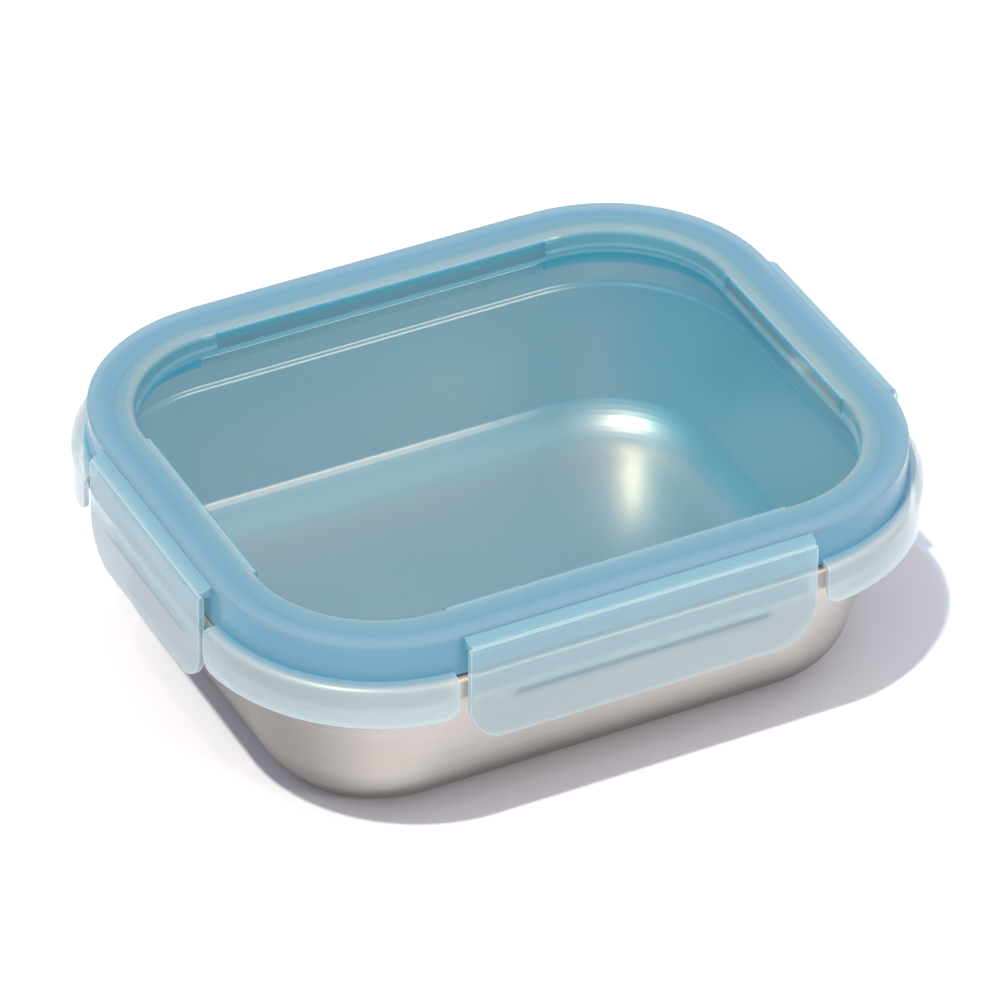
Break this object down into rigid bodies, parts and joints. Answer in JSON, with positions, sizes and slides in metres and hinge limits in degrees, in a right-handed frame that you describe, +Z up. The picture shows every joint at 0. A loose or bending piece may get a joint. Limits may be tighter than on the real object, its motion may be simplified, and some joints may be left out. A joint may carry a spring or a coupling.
{
  "type": "lunch box",
  "caption": "Rounded rectangular steel food box with a translucent clip-down lid, soft sealing ring and hinged side latches that hook under the steel rim.",
  "frame": {"origin": "middle of the flat base", "axes": "+Z up, +X along the long side to the right, +Y away from the front latch"},
  "size_m": [0.2086, 0.1718, 0.068],
  "materials": {
    "steel": "drawn stainless sheet, brushed along its length",
    "lid_plastic": "translucent pale aqua polypropylene, glossy",
    "silicone": "soft light blue silicone",
    "web_plastic": "thin translucent polypropylene",
    "latch_plastic": "frosted translucent polypropylene"
  },
  "bodies": {
    "pan": {"pan": "steel"},
    "lid": {"lid": "lid_plastic", "gasket": "silicone", "hinge_web_front": "web_plastic", "hinge_web_back": "web_plastic", "hinge_web_left": "web_plastic", "hinge_web_right": "web_plastic"},
    "latch_front": {"latch_front": "latch_plastic"},
    "latch_back": {"latch_back": "latch_plastic"},
    "latch_left": {"latch_left": "latch_plastic"},
    "latch_right": {"latch_right": "latch_plastic"}
  },
  "joints": [
    {"name": "lid_lift", "type": "slide", "parent": "pan", "child": "lid", "axis": [0, 0, 1], "range_m": [0, 0.09]},
    {"name": "latch_front_hinge", "type": "hinge", "parent": "lid", "child": "latch_front", "pos_m": [0, -0.0848, 0.0652], "axis": [-1, 0, 0], "range_deg": [-3, 135], "deforming": ["hinge_web_front"]},
    {"name": "latch_back_hinge", "type": "hinge", "parent": "lid", "child": "latch_back", "pos_m": [0, 0.0848, 0.0652], "axis": [1, 0, 0], "range_deg": [-3, 135], "deforming": ["hinge_web_back"]},
    {"name": "latch_left_hinge", "type": "hinge", "parent": "lid", "child": "latch_left", "pos_m": [-0.1033, 0, 0.0652], "axis": [0, 1, 0], "range_deg": [-3, 135], "deforming": ["hinge_web_left"]},
    {"name": "latch_right_hinge", "type": "hinge", "parent": "lid", "child": "latch_right", "pos_m": [0.1033, 0, 0.0652], "axis": [0, -1, 0], "range_deg": [-3, 135], "deforming": ["hinge_web_right"]}
  ]
}
